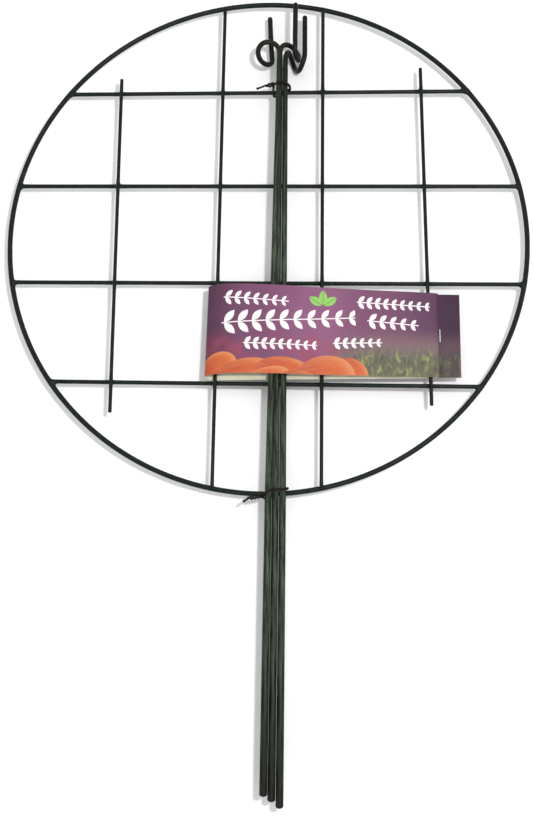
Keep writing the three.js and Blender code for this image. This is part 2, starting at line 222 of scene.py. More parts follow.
# Coatings: from where to where in the noise each look sets in, and how strong it is
TONE_LIMITS = (0.36, 0.66)
RUB_LIMITS = (0.60, 0.74)
RUB_SHARE = 0.3
CLOUD_LUMPS = 1.6
COAT_ROUGH_LIMITS = (0.35, 0.65)
COAT_ROUGH_SPREAD = (-0.06, 0.1)
COAT_BUMP_STRENGTH = 0.5
COAT_SHEEN = 0.16
GRID_ROUGHNESS = 0.42
GRID_STREAKS = 0.3
STAKE_ROUGHNESS = 0.44
STAKE_STREAKS = 0.85
TIE_ROUGHNESS = 0.55
TIE_STREAKS = 0.3

# A stake has painted shade: darker at both ends and down its sides, with its top left lit. Where
# that fades, and how strong it is
STAKE_FOOT_SHADE_RUN = (0.0, 0.2)
STAKE_HEAD_SHADE_RUN = (0.60, 0.40)
STAKE_END_SHADE = 0.8
STAKE_TOP_TURN = 0.5
STAKE_LIT_TOP_SHARES = (0.08, 0.24)
STAKE_SIDE_SHADE = 0.7

# Steel and bare board
STEEL_METAL = 0.2
STEEL_ROUGH = (0.3, 0.7, 0.28, 0.45)
STAIN_LIMITS = (0.3, 0.7)
BOARD_ROUGHNESS = 0.85
BOARD_SHEEN = 0.2
BOARD_BUMP_STRENGTH = 0.6

# How deep the grain stands
FINE_BUMP = 0.04 * MM
LUMP_BUMP = 0.4 * MM
STEEL_BUMP = 0.02 * MM
FIBRE_BUMP = 0.06 * MM
PRINT_BUMP = 0.015 * MM
WAVE_BUMP = 1.0 * MM

# Printed card: from where to where in the noise or the motif each look sets in, and how strong
WANDER = 30 * MM
PATCH_LIMITS = (0.40, 0.62)
DUSK_SHARE = 0.75
BUD_LIMITS = (0.48, 0.72)
BUD_SHARE = 0.75
BLADE_SHADOW_LIMITS = (0.46, 0.32)
BLADE_SHADOW_SHARE = 0.5
PETAL_PALE_LIMITS = (0.0, 0.7)
PETAL_DEEP_SHARE = 0.75
PETAL_EDGE = (0.0, 0.09)
VEIN_LIMITS = (0.45, 0.7)
VEIN_SHARE = 0.3
LEAF_EDGE = (0.0, 0.2)
EMBLEM_EDGE = (0.0, 0.15)
PRINT_GRAIN_LIMITS = (0.4, 0.8)
PRINT_GRAIN_SHARE = 0.16
PRINT_ROUGH = (0.3, 0.7, 0.46, 0.6)
PRINT_SHEEN = 0.3
PRINT_BUMP_STRENGTH = 0.4

# Print on the card, in metres from its fold and up from its foot
SHADE_ACROSS = (0.088, 0.128)
SHADE_UP = (0.040, 0.020)
MOSS_UP = (0.026, 0.010)
DUSK_UP = (0.036, 0.022)
BUD_UP = (0.024, 0.014)
# Painted shade in the crease beside the staple and over the end flap, which faces away from the
# lamp: where it lies across and up, and how strong
CREASE_ACROSS = (0.1775, 0.1800, 0.1830)
CREASE_SHADE = 0.4
FLAP_SHADE_UP = (0.052, 0.034)
FLAP_SHADES = (0.28, 0.62)

# Petals from behind to the front: the middle's place, half the length, half the width, degrees
PETALS = [
    (0.010, 0.004, 0.017, 0.012, 28),
    (0.034, -0.003, 0.026, 0.015, 8),
    (0.112, 0.001, 0.014, 0.012, -38),
    (0.063, 0.000, 0.024, 0.013, -10),
    (0.092, -0.004, 0.024, 0.019, 14),
    (0.046, -0.007, 0.022, 0.011, 22),
    (0.077, -0.008, 0.020, 0.010, -16),
]

# Sprigs: where the stem starts, its length and its turn in degrees, the leaves' spacing, half
# length and half width
SPRIGS = [
    (0.013, 0.0395, 0.102, 3.0, 0.0106, 0.0066, 0.0031),
    (0.124, 0.0430, 0.0392, -5.0, 0.0080, 0.0044, 0.0022),
    (0.030, 0.0235, 0.056, -1.0, 0.0064, 0.0036, 0.0018),
    (0.098, 0.0245, 0.0372, 2.0, 0.0064, 0.0034, 0.0017),
    (0.014, 0.0600, 0.050, -4.0, 0.0072, 0.0041, 0.0019),
    (0.116, 0.0575, 0.056, -3.0, 0.0064, 0.0036, 0.0018),
]
LEAF_LEAN_DEG = 48.0
LEAF_TAPER = 0.35
LEAF_BACK_SHARE = 0.17
STEM_HALF_WIDTH = 0.00055

# Emblem: three leaves from one place
EMBLEM_PLACE = (0.090, 0.0535)
EMBLEM_TURNS_DEG = (35.0, 90.0, 145.0)
EMBLEM_HALF_LENGTH = 0.0062
EMBLEM_HALF_WIDTH = 0.0034
EMBLEM_STEP_SHARE = 1.1


# Reading the CAD
def node_mesh(name):
    """The merged points and the triangles of a CAD node."""
    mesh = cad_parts[name].data
    co = np.zeros(len(mesh.vertices) * 3)
    mesh.vertices.foreach_get("co", co)
    mesh.calc_loop_triangles()
    corners = np.zeros(len(mesh.loop_triangles) * 3, int)
    mesh.loop_triangles.foreach_get("vertices", corners)
    rounded = np.round(co.reshape(-1, 3), MERGE_DIGITS)
    points, merged = np.unique(rounded, axis=0, return_inverse=True)
    return points, merged.reshape(-1)[corners].reshape(-1, 3)


def unit(vector):
    return vector / np.linalg.norm(vector, axis=-1, keepdims=True)


def straight_axis(name):
    """The two ends and the radius of a straight round wire."""
    points, _ = node_mesh(name)
    size = np.ptp(points, axis=0)
    side = int(np.argmax(size))
    middle = points[:, side].mean()
    ends = []
    for group, end in ((points[:, side] < middle, np.min), (points[:, side] > middle, np.max)):
        near = points[group]
        place = (near.min(0) + near.max(0)) / 2
        place[side] = end(near[:, side])
        ends.append(place)
    near = points[points[:, side] > middle]
    return ends[0], ends[1], np.ptp(near[:, 2]) / 2


def ring_circle():
    """The middle, the radius and the wire's radius of the ring."""
    low, high = (np.array(corner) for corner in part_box("ring"))
    wire = (high[2] - low[2]) / 2
    return (low + high) / 2, (high[0] - low[0]) / 2 - wire, wire


def bent_line(name, start, wire):
    """The middle line of a bent round wire, walked ring by ring from the end near start."""
    points, faces = node_mesh(name)
    first = points[np.argmin(np.linalg.norm(points - start, axis=1))]
    near = np.linalg.norm(points - first, axis=1) < wire * RING_SEARCH_WIRES
    level = set(np.flatnonzero(near))
    beside = [set() for _ in points]
    for a, b, c in faces:
        beside[a] |= {b, c}
        beside[b] |= {a, c}
        beside[c] |= {a, b}
    seen = set(level)
    line = []
    while level:
        line.append(points[list(level)].mean(0))
        level = set().union(*(beside[i] for i in level)) - seen
        seen |= level
    return np.array(line)


def smooth_line(points, parts, power=CURVE_POWER):
    """A Catmull-Rom curve through points, with so many parts in each span."""
    ends = np.vstack([2 * points[0] - points[1], points, 2 * points[-1] - points[-2]])
    line = []
    for a, b, c, d in zip(ends, ends[1:], ends[2:], ends[3:]):
        first, span, last = (np.linalg.norm(q - p) ** power for p, q in ((a, b), (b, c), (c, d)))
        leave = ((b - a) / first - (c - a) / (first + span) + (c - b) / span) * span
        arrive = ((c - b) / span - (d - b) / (span + last) + (d - c) / last) * span
        for s in np.arange(parts) / parts:
            rise = s * s * (3 - 2 * s)
            line.append(
                b + (c - b) * rise + leave * (s - 2 * s * s + s ** 3) + arrive * (s ** 3 - s * s)
            )
    line.append(points[-1])
    return np.array(line)


def softened(line, reach):
    """The line with its sharp turns eased over a short reach, and its ends kept."""
    runs = run_along(line)
    weights = np.exp(-((runs[:, None] - runs[None, :]) / reach) ** 2 / 2) * np.gradient(runs)
    eased = weights @ line / weights.sum(1)[:, None]
    near_end = np.minimum(runs, runs[-1] - runs)
    share = np.clip(near_end / (EASE_END_REACHES * reach), 0, 1)[:, None]
    return line + (eased - line) * share


def run_along(line):
    """The distance along a line to each of its points."""
    return np.concatenate([[0], np.cumsum(np.linalg.norm(np.diff(line, axis=0), axis=1))])


# Tubes
def turning_frames(line):
    """A tangent and two cross directions at each point, turning as little as they can."""
    tangents = unit(np.gradient(line, axis=0))
    across = np.array((0.0, 0.0, -1.0))
    if abs(tangents[0] @ across) > NEARLY_ALONG:
        across = np.array((1.0, 0.0, 0.0))
    first = np.empty_like(line)
    for i, tangent in enumerate(tangents):
        across = unit(across - tangent * (tangent @ across))
        first[i] = across
    return tangents, first, np.cross(tangents, first)


def domed(line, share, radius):
    """The line with short rounded ends, and each point's share of the radius."""
    turn = np.linspace(0, math.pi / 2, DOME_STEPS + 1)[1:-1]
    start = unit(line[0] - line[1])
    end = unit(line[-1] - line[-2])
    rise = (np.sin(turn) - 1)[:, None] * share * radius
    body = line.copy()
    body[0] = line[0] - start * share * radius
    body[-1] = line[-1] - end * share * radius
    head = line[0] + start * rise[::-1]
    tail = line[-1] + end * rise
    shares = np.concatenate([np.cos(turn)[::-1], np.ones(len(line)), np.cos(turn)])
    return np.vstack([head, body, tail]), shares


def tube_object(name, line, reach, directions, closed, tips=None):
    """A mesh round a line: reach is each side's distance from it, at each point."""
    count, sides = reach.shape
    vertices = (line[:, None, :] + directions * reach[:, :, None]).reshape(-1, 3)
    rows = count if closed else count - 1
    faces = []
    for i in range(rows):
        here, there = i * sides, ((i + 1) % count) * sides
        for j in range(sides):
            k = (j + 1) % sides
            faces.append((here + j, here + k, there + k, there + j))
    if not closed:
        vertices = np.vstack([vertices, tips])
        base = count * sides
        last = (count - 1) * sides
        for j in range(sides):
            k = (j + 1) % sides
            faces.append((base, k, j))
            faces.append((base + 1, last + j, last + k))
    mesh = bpy.data.meshes.new(name)
    mesh.from_pydata(vertices.tolist(), [], faces)
    mesh.polygons.foreach_set("use_smooth", [True] * len(faces))
    add_wire_coordinates(mesh, line, count, sides, closed)
    mesh.validate()
    mesh.update()
    piece = bpy.data.objects.new(name, mesh)
    bpy.context.scene.collection.objects.link(piece)
    return piece


def add_wire_coordinates(mesh, line, count, sides, closed):
    """Coordinates in metres, along the wire and round it, for the coating's grain."""
    runs = run_along(line)
    whole = runs[-1] + (np.linalg.norm(line[0] - line[-1]) if closed else 0)
    layer = mesh.uv_layers.new(name="wire")
    places = np.zeros((len(mesh.loops), 2))
    for polygon in mesh.polygons:
        loops = list(polygon.loop_indices)
        cells = [divmod(mesh.loops[i].vertex_index, sides) for i in loops]
        cell_rows = [row for row, _ in cells]
        cell_sides = [side for _, side in cells]
        wraps = 0 in cell_sides and sides - 1 in cell_sides
        closes = closed and 0 in cell_rows and count - 1 in cell_rows
        for loop, (row, side) in zip(loops, cells):
            turn = side + (sides if wraps and side == 0 else 0)
            run = whole if closes and row == 0 else runs[min(row, count - 1)]
            places[loop] = (run, turn / sides)
    layer.data.foreach_set("uv", places.reshape(-1))


def sides_round(first, second, sides):
    """Each side's direction from the line, at each point of it."""
    turn = np.arange(sides) / sides * FULL_TURN
    return first[:, None, :] * np.cos(turn)[:, None] + second[:, None, :] * np.sin(turn)[:, None]


# Coated grid: every wire swells smoothly into those it is welded to
def axis_distance(places, start, end):
    way = end - start
    share = np.clip(((places - start) @ way) / (way @ way), 0, 1)
    return np.linalg.norm(places - start - share[..., None] * way, axis=-1)


def circle_distance(places, middle, radius):
    off = places - middle
    return np.hypot(np.hypot(off[..., 0], off[..., 1]) - radius, off[..., 2])


def near_stations(length, zones):
    """Places along a wire, close together in the zones round its welds."""
    places = [0.0]
    while places[-1] < length:
        near = min((abs(places[-1] - zone) for zone in zones), default=length)
        step = NEAR_STEP if near < WELD_ZONE else FAR_STEP
        places.append(places[-1] + step)
    return np.array(places) * (length / places[-1])


def coated_reach(line, directions, radius, others, welds):
    """How far the coating stands from the wire's line, blended into the other wires."""
    sway = np.sin(line @ np.array(COAT_SWAY_WAVES))[:, None] * COAT_BLEND_SWAY_SHARE
    pool = -directions[..., 1] * COAT_POOL_SHARE
    blend = COAT_BLEND * (1 + sway + pool)
    far = np.min([np.linalg.norm(line - weld, axis=1) for weld in welds], axis=0)
    swollen = (radius + WELD_SWELL * np.exp(-(far / WELD_REACH) ** 2))[:, None]

    def gap(reach):
        places = line[:, None, :] + directions * reach[..., None]
        nearest = np.min([other(places) for other in others], axis=0)
        own = reach - swollen
        close = np.clip(blend - np.abs(own - nearest), 0, None) / blend
        return np.minimum(own, nearest) - close * close * blend / 4

    low = np.zeros(blend.shape) + swollen
    high = low + blend
    for _ in range(SEARCH_STEPS):
        middle = (low + high) / 2
        inside = gap(middle) < 0
        low = np.where(inside, middle, low)
        high = np.where(inside, high, middle)
    return (low + high) / 2


class GridWire:
    """A straight wire of the grid: its line, its radius and which wires it meets."""

    def __init__(self, name):
        self.name = name
        self.start, self.end, self.radius = straight_axis(name)
        self.across = name.startswith("cross")

    def distance(self, places):
        return axis_distance(places, self.start, self.end) - self.radius


def crossing(wire, other):
    """Where two straight wires pass, on the first one's line, as a distance from its start."""
    way = other.end - other.start
    mine = unit(wire.end - wire.start)
    turned = np.array((-way[1], way[0]))
    return ((other.start - wire.start)[:2] @ turned) / (mine[:2] @ turned)


def build_grid():
    middle, radius, wire_radius = ring_circle()
    numbers = range(1, WIRES_EACH_WAY + 1)
    wires = [GridWire(f"{kind}_wire_{i}") for kind in ("cross", "long") for i in numbers]
    pieces = []
    ring_welds = []

    def ring_distance(places):
        return circle_distance(places, middle, radius) - wire_radius

    def meets_ring(place):
        return abs(np.linalg.norm((place - middle)[:2]) - radius) < RING_END_REACH

    for wire in wires:
        mine = unit(wire.end - wire.start)
        ends = (wire.start, wire.end)
        on_ring = [meets_ring(end) for end in ends]
        start = wire.start - mine * END_SINK * (wire.across and on_ring[0])
        end = wire.end + mine * END_SINK * (wire.across and on_ring[1])
        length = np.linalg.norm(end - start)
        welds = [crossing(wire, other) for other in wires if other.across != wire.across]
        welds = [run for run in welds if -WELD_ZONE < run < length + WELD_ZONE]
        welds += [run for run, on in zip((0.0, length), on_ring) if on]
        ring_welds += [place for place, on in zip(ends, on_ring) if on]
        runs = near_stations(length, welds)
        line = start + mine * runs[:, None]
        line, shares = domed(line, WIRE_DOME_SHARE, wire.radius)
        _, first, second = turning_frames(line)
        directions = sides_round(first, second, TUBE_SIDES)
        others = [other.distance for other in wires if other is not wire] + [ring_distance]
        places = [wire.start + mine * run for run in welds]
        reach = coated_reach(line, directions, wire.radius * shares, others, places)
        tips = [start, end]
        piece = tube_object(f"{wire.name}_coated", line, reach, directions, False, tips)
        pieces.append((piece, wire.name))
    pieces.append((build_ring(middle, radius, wire_radius, wires, ring_welds), "ring"))
    for piece, node in pieces:
        dress(piece, grid_coat, "grid", node)


def build_ring(middle, radius, wire_radius, wires, ring_welds):
    turns = [math.atan2(*(place - middle)[1::-1]) % FULL_TURN for place in ring_welds]
    zones = [(turn + lap) * radius for turn in turns for lap in (-FULL_TURN, 0, FULL_TURN)]
    runs = near_stations(FULL_TURN * radius, zones)[:-1]
    turn = runs / radius
    out = np.stack([np.cos(turn), np.sin(turn), np.zeros(len(turn))], axis=1)
    line = middle + out * radius
    up = np.zeros_like(line)
    up[:, 2] = -1.0
    directions = sides_round(up, -out, TUBE_SIDES)
    others = [wire.distance for wire in wires]
    reach = coated_reach(line, directions, np.full(len(line), wire_radius), others, ring_welds)
    return tube_object("ring_coated", line, reach, directions, True)


def dress(piece, material, body, node):
    """Gives a new piece its material and the body it rides, and hides the CAD node it stands for."""
    piece.data.materials.append(material)
    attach(piece, body)
    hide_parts(node)


# Loose wires
def round_wire(name, line, wire, sides, dome_share, swell=None):
    line, shares = domed(line, dome_share, wire / 2)
    tangents, first, second = turning_frames(line)
    directions = sides_round(first, second, sides)
    reach = np.repeat((wire / 2 * shares)[:, None], sides, axis=1)
    if swell is not None:
        reach = reach * (1 + swell(line)[:, None])
    tips = [
        line[0] - tangents[0] * reach[0, 0] * TIP_SHARE,
        line[-1] + tangents[-1] * reach[-1, 0] * TIP_SHARE,
    ]
    return tube_object(name, line, reach, directions, False, tips)


def down_stake(places, foot, values_mm):
    """The value at each place of a stake, between those given from its hook to its foot."""
    share = 1 - (places[:, 1] - foot[1]) / STAKE_COAT_RUN
    return np.interp(share, STAKE_PLACE_SHARES, values_mm) * MM


def stake_swell(places, foot):
    """How much thicker than its wire a stake is at each place, as a share."""
    return down_stake(places, foot, STAKE_COAT_MM) / STAKE_WIRE - 1


def tie_swell(places, tail, wrap):
    """How much thicker than its wire a tie is at each place, as a share."""
    away = np.linalg.norm(places - tail, axis=1) / TIE_BLOB_LENGTH
    blob = TIE_BLOB / TIE_WIRE * 2 * np.exp(-away ** 2)
    return blob + np.interp(places[:, 0] - tail[0], TIE_WRAP_START, (0, wrap))


def build_stakes():
    for name, (ease, bows) in STAKE_BOWS_MM.items():
        points, _ = node_mesh(name)
        foot = points[np.argmin(points[:, 1])]
        line = softened(smooth_line(bent_line(name, foot, STAKE_WIRE), LINE_PARTS), ease * MM)
        line[:, 0] += down_stake(line, foot, bows)
        swell = partial(stake_swell, foot=foot)
        piece = round_wire(f"{name}_coated", line, STAKE_WIRE, TUBE_SIDES, STAKE_DOME_SHARE, swell)
        dress(piece, stake_coat, name, name)


def build_ties():
    for name, wrap in TIE_WRAP_SWELLS.items():
        points, _ = node_mesh(name)
        tail = points[np.argmin(points[:, 0])]
        line = smooth_line(bent_line(name, tail, TIE_WIRE), LINE_PARTS)
        swell = partial(tie_swell, tail=line[0], wrap=wrap)
        piece = round_wire(f"{name}_twisted", line, TIE_WIRE, TIE_TUBE_SIDES, TIE_DOME_SHARE, swell)
        dress(piece, tie_coat, "grid", name)


def build_staple():
    points, _ = node_mesh("staple")
    low, high = points.min(0), points.max(0)
    behind = points[points[:, 2] < low[2] + STAPLE_WIRE]
    lower = behind[behind[:, 1] < (low[1] + high[1]) / 2]
    tip = lower[np.argmax(lower[:, 1])]
    line = smooth_line(bent_line("staple", tip, STAPLE_WIRE), LINE_PARTS)
    piece = round_wire("staple_bent", line, STAPLE_WIRE, TIE_TUBE_SIDES, TIE_DOME_SHARE)
    dress(piece, staple_steel, "label", "staple")


# Card label band
def label_line():
    """The card's middle line across the object, from its stapled end round to the end behind."""
    low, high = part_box("label_band")
    fold_x = low.x + CARD / 2
    back_z = low.z + CARD / 2
    flap_z = back_z + CARD + TOUCH_GAP
    start, end, radius = straight_axis("long_wire_4")
    row = straight_axis("cross_wire_3")[0][1]
    last = start + (end - start) * (row - start[1]) / (end[1] - start[1])
    wide = last[0] - fold_x
    depth = high.z - CARD / 2 - back_z
    line = [
        (high.x, flap_z),
        (high.x - LABEL_FLAP_LENGTH / 2, flap_z),
        (high.x - LABEL_FLAP_LENGTH, flap_z),
        (last[0], last[2] + radius + TOUCH_GAP + CARD),
        *((fold_x + across * wide, back_z + up * depth) for across, up in LABEL_WRAP_SHARES),
        (last[0], back_z),
        (high.x, back_z),
    ]
    line = smooth_line(np.array([(x, 0.0, z) for x, z in line]), LABEL_PARTS, 0)
    runs = run_along(line)
    even = np.linspace(0, runs[-1], int(runs[-1] / CARD_STEP))
    return np.stack([np.interp(even, runs, line[:, side]) for side in range(3)], axis=1)


def label_sheet():
    """The middle of the card as rows of points from its foot up, with its printed coordinates."""
    low, high = (np.array(corner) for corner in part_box("label_band"))
    line = label_line()
    runs = run_along(line)
    fold = runs[np.argmin(line[:, 0])]
    along = (line[:, 0] - low[0]) / (high[0] - low[0])
    behind = 1 - np.clip((line[:, 2] - low[2]) / (high[2] - low[2]), 0, 1)
    foot = low[1] + LABEL_BACK_DROP * (1 - behind * (1 - along)) - LABEL_FOOT_FALL * along
    height = LABEL_HEIGHT_AT_FOLD + (LABEL_HEIGHT_AT_END - LABEL_HEIGHT_AT_FOLD) * along
    up = np.linspace(0, 1, CARD_ROWS + 1)
    sheet = np.repeat(line[:, None, :], len(up), axis=1)
    sheet[..., 0] += LABEL_FOLD_OFFSET * (1 - along)[:, None] * up
    sheet[..., 1] = foot[:, None] + height[:, None] * up
    printed = np.stack(np.broadcast_arrays((fold - runs)[:, None], height[:, None] * up), axis=-1)
    front = np.clip(printed[..., 0] / CARD_WAVE_START - 1, 0, 1)
    ripple = 1 + np.sin(printed @ np.array(CARD_WAVE_TURNS))
    loose = np.clip((LABEL_LOOSE_SHARE - along) / CARD_WAVE_FADE_SHARE, 0, 1)[:, None]
    sheet[..., 2] += CARD_WAVE / 2 * ripple * front * loose * loose * (3 - 2 * loose)
    return sheet, printed


def build_label():
    sheet, printed = label_sheet()
    out = unit(np.cross(np.gradient(sheet, axis=1), np.gradient(sheet, axis=0)))
    count, rows = sheet.shape[:2]
    back = count * rows
    front = (sheet + out * CARD / 2).reshape(-1, 3)
    inside = (sheet - out * CARD / 2).reshape(-1, 3)
    faces = []
    for i in range(count - 1):
        for j in range(rows - 1):
            a, b, c, d = i * rows + j, (i + 1) * rows + j, (i + 1) * rows + j + 1, i * rows + j + 1
            faces.append((a, d, c, b))
            faces.append((back + a, back + b, back + c, back + d))
    sides = [0, 1] * (len(faces) // 2)
    rim = [i * rows for i in range(count)]
    rim += [(count - 1) * rows + j for j in range(1, rows)]
    rim += [i * rows + rows - 1 for i in range(count - 2, -1, -1)]
    rim += list(range(rows - 2, 0, -1))
    vertices = np.concatenate([front, inside, front[rim], inside[rim]])
    edge, turned = 2 * back, 2 * back + len(rim)
    for a in range(len(rim)):
        b = (a + 1) % len(rim)
        faces.append((edge + a, edge + b, turned + b, turned + a))
    sides += [1] * len(rim)
    mesh = bpy.data.meshes.new("label_card")
    mesh.from_pydata(vertices.tolist(), [], faces)
    mesh.materials.append(printed_card)
    mesh.materials.append(plain_card)
    mesh.polygons.foreach_set("material_index", sides)
    mesh.polygons.foreach_set("use_smooth", [True] * (len(faces) - len(rim)) + [False] * len(rim))
    corners = np.zeros(len(mesh.loops), int)
    mesh.loops.foreach_get("vertex_index", corners)
    flat = printed.reshape(-1, 2)
    places = np.concatenate([flat, flat, flat[rim], flat[rim]])
    mesh.uv_layers.new(name="print").data.foreach_set("uv", places[corners].reshape(-1))
    mesh.update()
    piece = bpy.data.objects.new("label_card", mesh)
    bpy.context.scene.collection.objects.link(piece)
    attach(piece, "label")
    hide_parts("label_band")


# Materials, and which sockets of a colour mix hold its two colours and its result
MIX_COLORS = (6, 7)
MIX_RESULT = 2


class Shader:
    """A material's node tree, with a short method for each kind of node."""

    def __init__(self, name):
        self.material = bpy.data.materials.new(name)
        self.material.use_nodes = True
        self.tree = self.material.node_tree
        self.surface = self.tree.nodes["Principled BSDF"]

    def put(self, value, socket):
        if isinstance(value, bpy.types.NodeSocket):
            self.tree.links.new(value, socket)
        else:
            socket.default_value = value

    def set(self, **values):
        for key, value in values.items():
            self.put(value, self.surface.inputs[key.replace("_", " ")])

    def coordinates(self, layer=None):
        if layer is None:
            return self.tree.nodes.new("ShaderNodeTexCoord").outputs["Object"]
        node = self.tree.nodes.new("ShaderNodeUVMap")
        node.uv_map = layer
        return node.outputs["UV"]

    def scaled(self, vector, x, y, z=1.0):
        node = self.tree.nodes.new("ShaderNodeMapping")
        self.put(vector, node.inputs["Vector"])
        node.inputs["Scale"].default_value = (x, y, z)
        return node.outputs["Vector"]

    def moved(self, vector, x, y, turn_deg):
        """The same places seen from one place and turned, as a motif's own coordinates."""
        node = self.tree.nodes.new("ShaderNodeMapping")
        node.vector_type = "TEXTURE"
        self.put(vector, node.inputs["Vector"])
        node.inputs["Location"].default_value = (x, y, 0.0)
        node.inputs["Rotation"].default_value = (0.0, 0.0, math.radians(turn_deg))
        return self.split(node.outputs["Vector"])

    def split(self, vector):
        node = self.tree.nodes.new("ShaderNodeSeparateXYZ")
        self.put(vector, node.inputs[0])
        return node.outputs[0], node.outputs[1]

    def squared(self, x, half):
        return self.math("POWER", self.math("ABSOLUTE", self.math("DIVIDE", x, half)), 2.0)

    def oval(self, x, y, half_length, half_width):
        """One less the squared distance in ovals, so above zero inside."""
        return self.less(1.0, self.plus(self.squared(x, half_length), self.squared(y, half_width)))

    def almond(self, x, y, half_length, half_width):
        """Above zero inside a leaf that is pointed at both ends."""
        up = self.math("ABSOLUTE", self.math("DIVIDE", y, half_width))
        return self.less(1.0, self.plus(self.squared(x, half_length), up))

    def noise(self, vector, scale, detail, roughness=0.5, distortion=0.0):
        node = self.tree.nodes.new("ShaderNodeTexNoise")
        self.put(vector, node.inputs["Vector"])
        node.inputs["Scale"].default_value = scale
        node.inputs["Detail"].default_value = detail
        node.inputs["Roughness"].default_value = roughness
        node.inputs["Distortion"].default_value = distortion
        return node.outputs["Fac"]

    def joined(self, x, y):
        node = self.tree.nodes.new("ShaderNodeCombineXYZ")
        self.put(x, node.inputs[0])
        self.put(y, node.inputs[1])
        return node.outputs[0]

    def range(self, value, low, high, to_low=0.0, to_high=1.0):
        node = self.tree.nodes.new("ShaderNodeMapRange")
        node.interpolation_type = "SMOOTHSTEP"
        self.put(value, node.inputs["Value"])
        node.inputs["From Min"].default_value = low
        node.inputs["From Max"].default_value = high
        node.inputs["To Min"].default_value = to_low
        node.inputs["To Max"].default_value = to_high
        return node.outputs["Result"]

    def math(self, operation, a, b=0.0):
        node = self.tree.nodes.new("ShaderNodeMath")
        node.operation = operation
        self.put(a, node.inputs[0])
        self.put(b, node.inputs[1])
        return node.outputs[0]

    def plus(self, a, b):
        return self.math("ADD", a, b)

    def less(self, a, b):
        return self.math("SUBTRACT", a, b)

    def times(self, a, b):
        return self.math("MULTIPLY", a, b)

    def mix(self, share, a, b):
        node = self.tree.nodes.new("ShaderNodeMix")
        node.data_type = "RGBA"
        self.put(share, node.inputs[0])
        for index, color in zip(MIX_COLORS, (a, b)):
            self.put(color, node.inputs[index])
        return node.outputs[MIX_RESULT]

    def bump(self, height, distance, strength=1.0, under=None):
        node = self.tree.nodes.new("ShaderNodeBump")
        node.inputs["Distance"].default_value = distance
        node.inputs["Strength"].default_value = strength
        self.put(height, node.inputs["Height"])
        if under is not None:
            self.put(under, node.inputs["Normal"])
        return node.outputs["Normal"]


def screen(color):
    """A colour as a screen shows it, in the linear values that the shaders take."""
    linear = []
    for part in color:
        share = part / SCREEN_FULL
        curved = ((share + SCREEN_OFFSET) / (1 + SCREEN_OFFSET)) ** SCREEN_POWER
        linear.append(share / SCREEN_SLOPE if share <= SCREEN_KNEE else curved)
    return (*linear, 1.0)


def make_coat(name, tones, roughness, streaks, ends=None):
    """A dipped coating on wire: dark, half dull, a little lumpy, streaked and rubbed. Given a shade
    colour, it also gets painted shade at both ends and down its sides.
    """
    shader = Shader(name)
    dark, light, rubbed = (screen(tone) for tone in tones)
    place = shader.coordinates()
    run = shader.coordinates("wire")
    mottle = shader.noise(place, *MOTTLE_NOISE)
    clouds = shader.noise(place, *CLOUD_NOISE)
    grain = shader.noise(shader.scaled(run, *STREAK_SCALE), *STREAK_NOISE)
    tone = shader.plus(shader.times(mottle, 1.0 - streaks), shader.times(grain, streaks))
    rub = shader.range(shader.noise(place, *RUB_NOISE), *RUB_LIMITS)
    color = shader.mix(shader.range(tone, *TONE_LIMITS), dark, light)
    color = shader.mix(shader.times(rub, RUB_SHARE), color, rubbed)
    if ends is not None:
        # Painted shade: the sides are darkened towards the dark tone while the top stays lit, and
        # both ends are darkened towards the shade colour
        along, turn = shader.split(run)
        aside = shader.math("ABSOLUTE", shader.less(turn, STAKE_TOP_TURN))
        side = shader.range(aside, *STAKE_LIT_TOP_SHARES)
        color = shader.mix(shader.times(side, STAKE_SIDE_SHADE), color, dark)
        foot = shader.range(along, *STAKE_FOOT_SHADE_RUN)
        head = shader.range(along, *STAKE_HEAD_SHADE_RUN)
        end_shade = shader.times(shader.less(1.0, shader.times(foot, head)), STAKE_END_SHADE)
        color = shader.mix(end_shade, color, screen(ends))
    lumps = shader.plus(mottle, shader.times(clouds, CLOUD_LUMPS))
    fine = shader.noise(place, *FINE_NOISE)
    lumpy = shader.bump(lumps, LUMP_BUMP, COAT_BUMP_STRENGTH)
    rough = (roughness + spread for spread in COAT_ROUGH_SPREAD)
    shader.set(
        Base_Color=color,
        Roughness=shader.range(clouds, *COAT_ROUGH_LIMITS, *rough),
        Specular_IOR_Level=COAT_SHEEN,
        Normal=shader.bump(fine, FINE_BUMP, COAT_BUMP_STRENGTH, lumpy),
    )
    return shader.material


def make_staple_steel():
    shader = Shader("staple_steel")
    # Near-white colour: partly a painted reflection of the steel
    grain = shader.noise(shader.scaled(shader.coordinates(), *STEEL_SCALE), *STEEL_NOISE)
    shader.set(
        Base_Color=shader.mix(grain, *(screen(tone) for tone in STEEL_TONES)),
        Metallic=STEEL_METAL,
        Roughness=shader.range(grain, *STEEL_ROUGH),
        Normal=shader.bump(grain, STEEL_BUMP),
    )
    return shader.material


def make_plain_card():
    """Bare board, on the card's inside and its cut edges: stained a little, with fine fibres."""
    shader = Shader("plain_card")
    place = shader.coordinates()
    fibre = shader.noise(place, *BOARD_NOISE)
    stain = shader.range(shader.noise(place, *STAIN_NOISE), *STAIN_LIMITS)
    shader.set(
        Base_Color=shader.mix(stain, *(screen(tone) for tone in BOARD_TONES)),
        Roughness=BOARD_ROUGHNESS,
        Specular_IOR_Level=BOARD_SHEEN,
        Normal=shader.bump(fibre, FIBRE_BUMP, BOARD_BUMP_STRENGTH),
    )
    return shader.material


